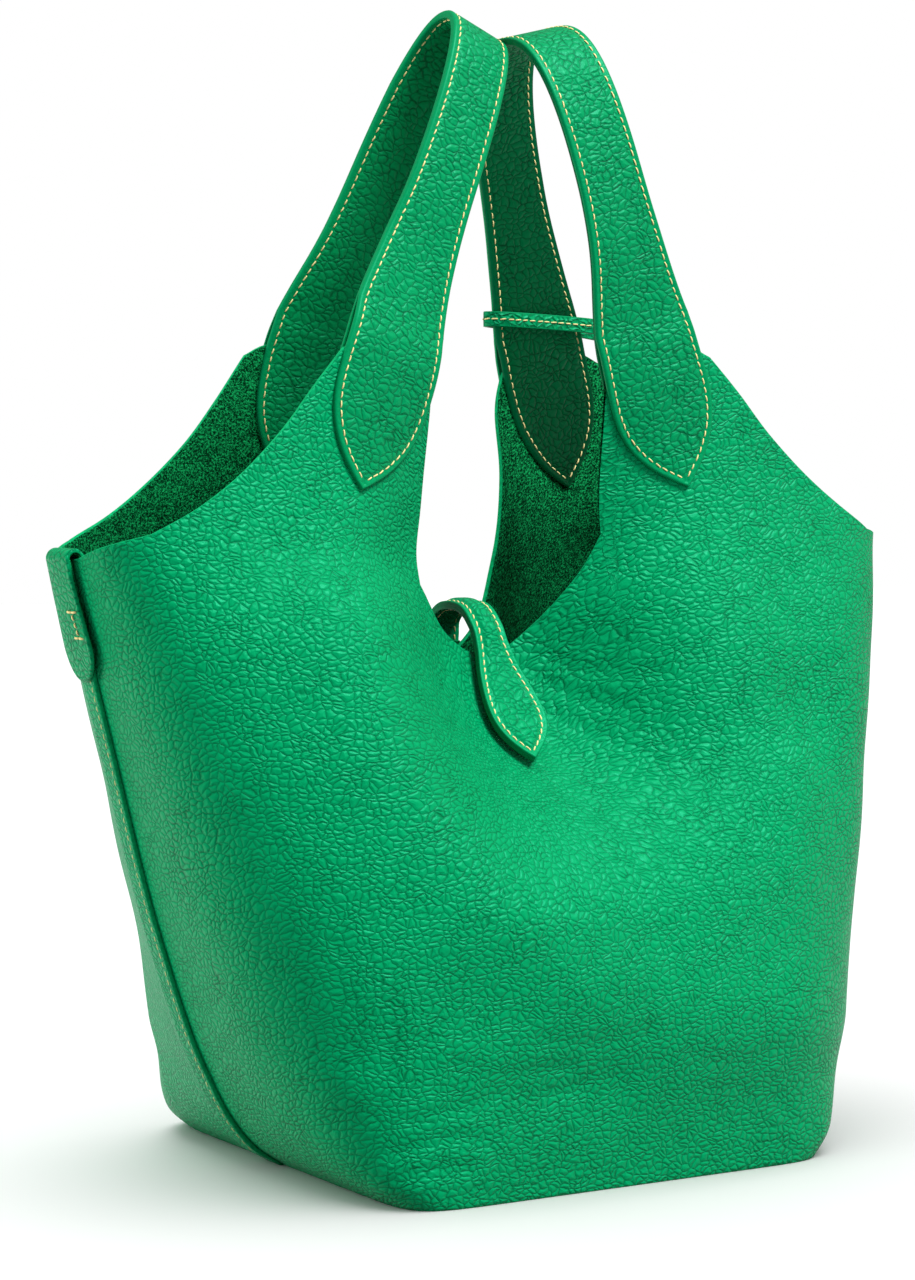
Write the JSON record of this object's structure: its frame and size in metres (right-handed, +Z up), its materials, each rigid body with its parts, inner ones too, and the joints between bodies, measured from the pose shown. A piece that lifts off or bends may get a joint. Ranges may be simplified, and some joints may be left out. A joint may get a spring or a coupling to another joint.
{
  "type": "bucket bag",
  "caption": "Leather bucket bag with a pinched open mouth, two swinging strap handles, a snap closure tab and a hang tag on a loop.",
  "frame": {"origin": "centre of the base panel's underside, on the surface the bag stands on", "axes": "+Z up through the mouth, +X along the front panel towards the hang tag, +Y from the front panel to the back panel"},
  "size_m": [0.4139, 0.2245, 0.504],
  "materials": {
    "shell_leather": "pebbled full grain, semi-matt, raw lighter edges",
    "suede": "napped flesh side",
    "strap_leather": "fine grain, semi-matt, painted rounded edges",
    "strap_lining": "smooth lining leather, matt",
    "base_board": "stiff fibre board",
    "snap_steel": "plated, satin",
    "thread": "waxed saddle stitching thread"
  },
  "bodies": {
    "bag": {"front_panel": "shell_leather", "back_panel": "shell_leather", "base_panel": "shell_leather", "base_stiffener": "base_board", "base_inner_cover": "suede", "left_side_tab": "strap_leather", "right_side_tab": "strap_leather", "left_front_outer_tab": "strap_leather", "left_back_outer_tab": "strap_leather", "right_front_outer_tab": "strap_leather", "right_back_outer_tab": "strap_leather", "left_front_inner_tab": "strap_lining", "left_back_inner_tab": "strap_lining", "right_front_inner_tab": "strap_lining", "right_back_inner_tab": "strap_lining", "closure_root": "strap_leather", "snap_stud": "snap_steel", "snap_washer": "snap_steel"},
    "left_handle": {"left_handle_outer": "strap_leather", "left_handle_inner": "strap_lining"},
    "right_handle": {"right_handle_outer": "strap_leather", "right_handle_inner": "strap_lining"},
    "closure_tab": {"closure_tab_outer": "strap_leather", "closure_tab_lining": "strap_lining", "snap_socket": "snap_steel"},
    "tag_loop": {"tag_loop": "strap_leather"},
    "hang_tag": {"hang_tag_front": "strap_leather", "hang_tag_back": "strap_lining"}
  },
  "joints": [
    {"name": "left_handle_swing", "type": "hinge", "parent": "bag", "child": "left_handle", "pos_m": [-0.065, 0, 0.369], "axis": [0, -1, 0], "range_deg": [0, 60]},
    {"name": "right_handle_swing", "type": "hinge", "parent": "bag", "child": "right_handle", "pos_m": [0.0575, 0, 0.363], "axis": [0, 1, 0], "range_deg": [0, 48]},
    {"name": "closure_flip", "type": "hinge", "parent": "bag", "child": "closure_tab", "pos_m": [-0.01, 0.0196, 0.2275], "axis": [-1, 0, 0], "range_deg": [0, 140]},
    {"name": "tag_loop_slide", "type": "slide", "parent": "bag", "child": "tag_loop", "axis": [0, 0, 1], "range_m": [0, 0.006]},
    {"name": "tag_swing", "type": "hinge", "parent": "tag_loop", "child": "hang_tag", "pos_m": [0.114, 0.0523, 0.366], "axis": [0, 1, 0], "range_deg": [-30, 30]}
  ]
}
